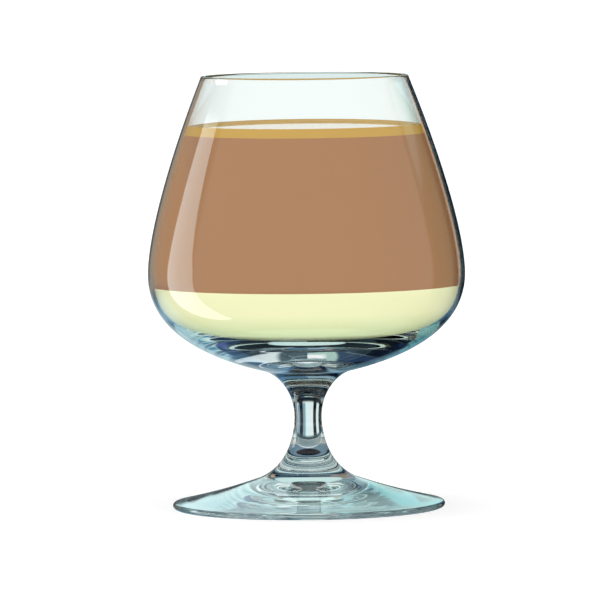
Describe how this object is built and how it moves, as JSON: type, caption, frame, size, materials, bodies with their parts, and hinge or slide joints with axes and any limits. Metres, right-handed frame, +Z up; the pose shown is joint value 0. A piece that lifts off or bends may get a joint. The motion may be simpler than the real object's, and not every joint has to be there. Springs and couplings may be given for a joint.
{
  "type": "green tea sour",
  "caption": "Layered green tea sour in a footed snifter glass: pale yellow-green at the bottom, deep brown above it, thin golden layer on top, with free space under the rim.",
  "frame": {"origin": "centre of the glass's foot, on the plane that it stands on", "axes": "+Z up along the glass's axis, towards the rim"},
  "size_m": [0.0938, 0.0938, 0.128],
  "materials": {
    "clear_glass": "clear, fire-polished",
    "pale_tea": "cloudy liquid, wet",
    "brown_tea": "cloudy liquid, wet",
    "golden_top": "cloudy liquid, wet"
  },
  "bodies": {
    "root": {"snifter_glass": "clear_glass", "pale_layer": "pale_tea", "brown_layer": "brown_tea", "gold_layer": "golden_top"}
  },
  "joints": []
}
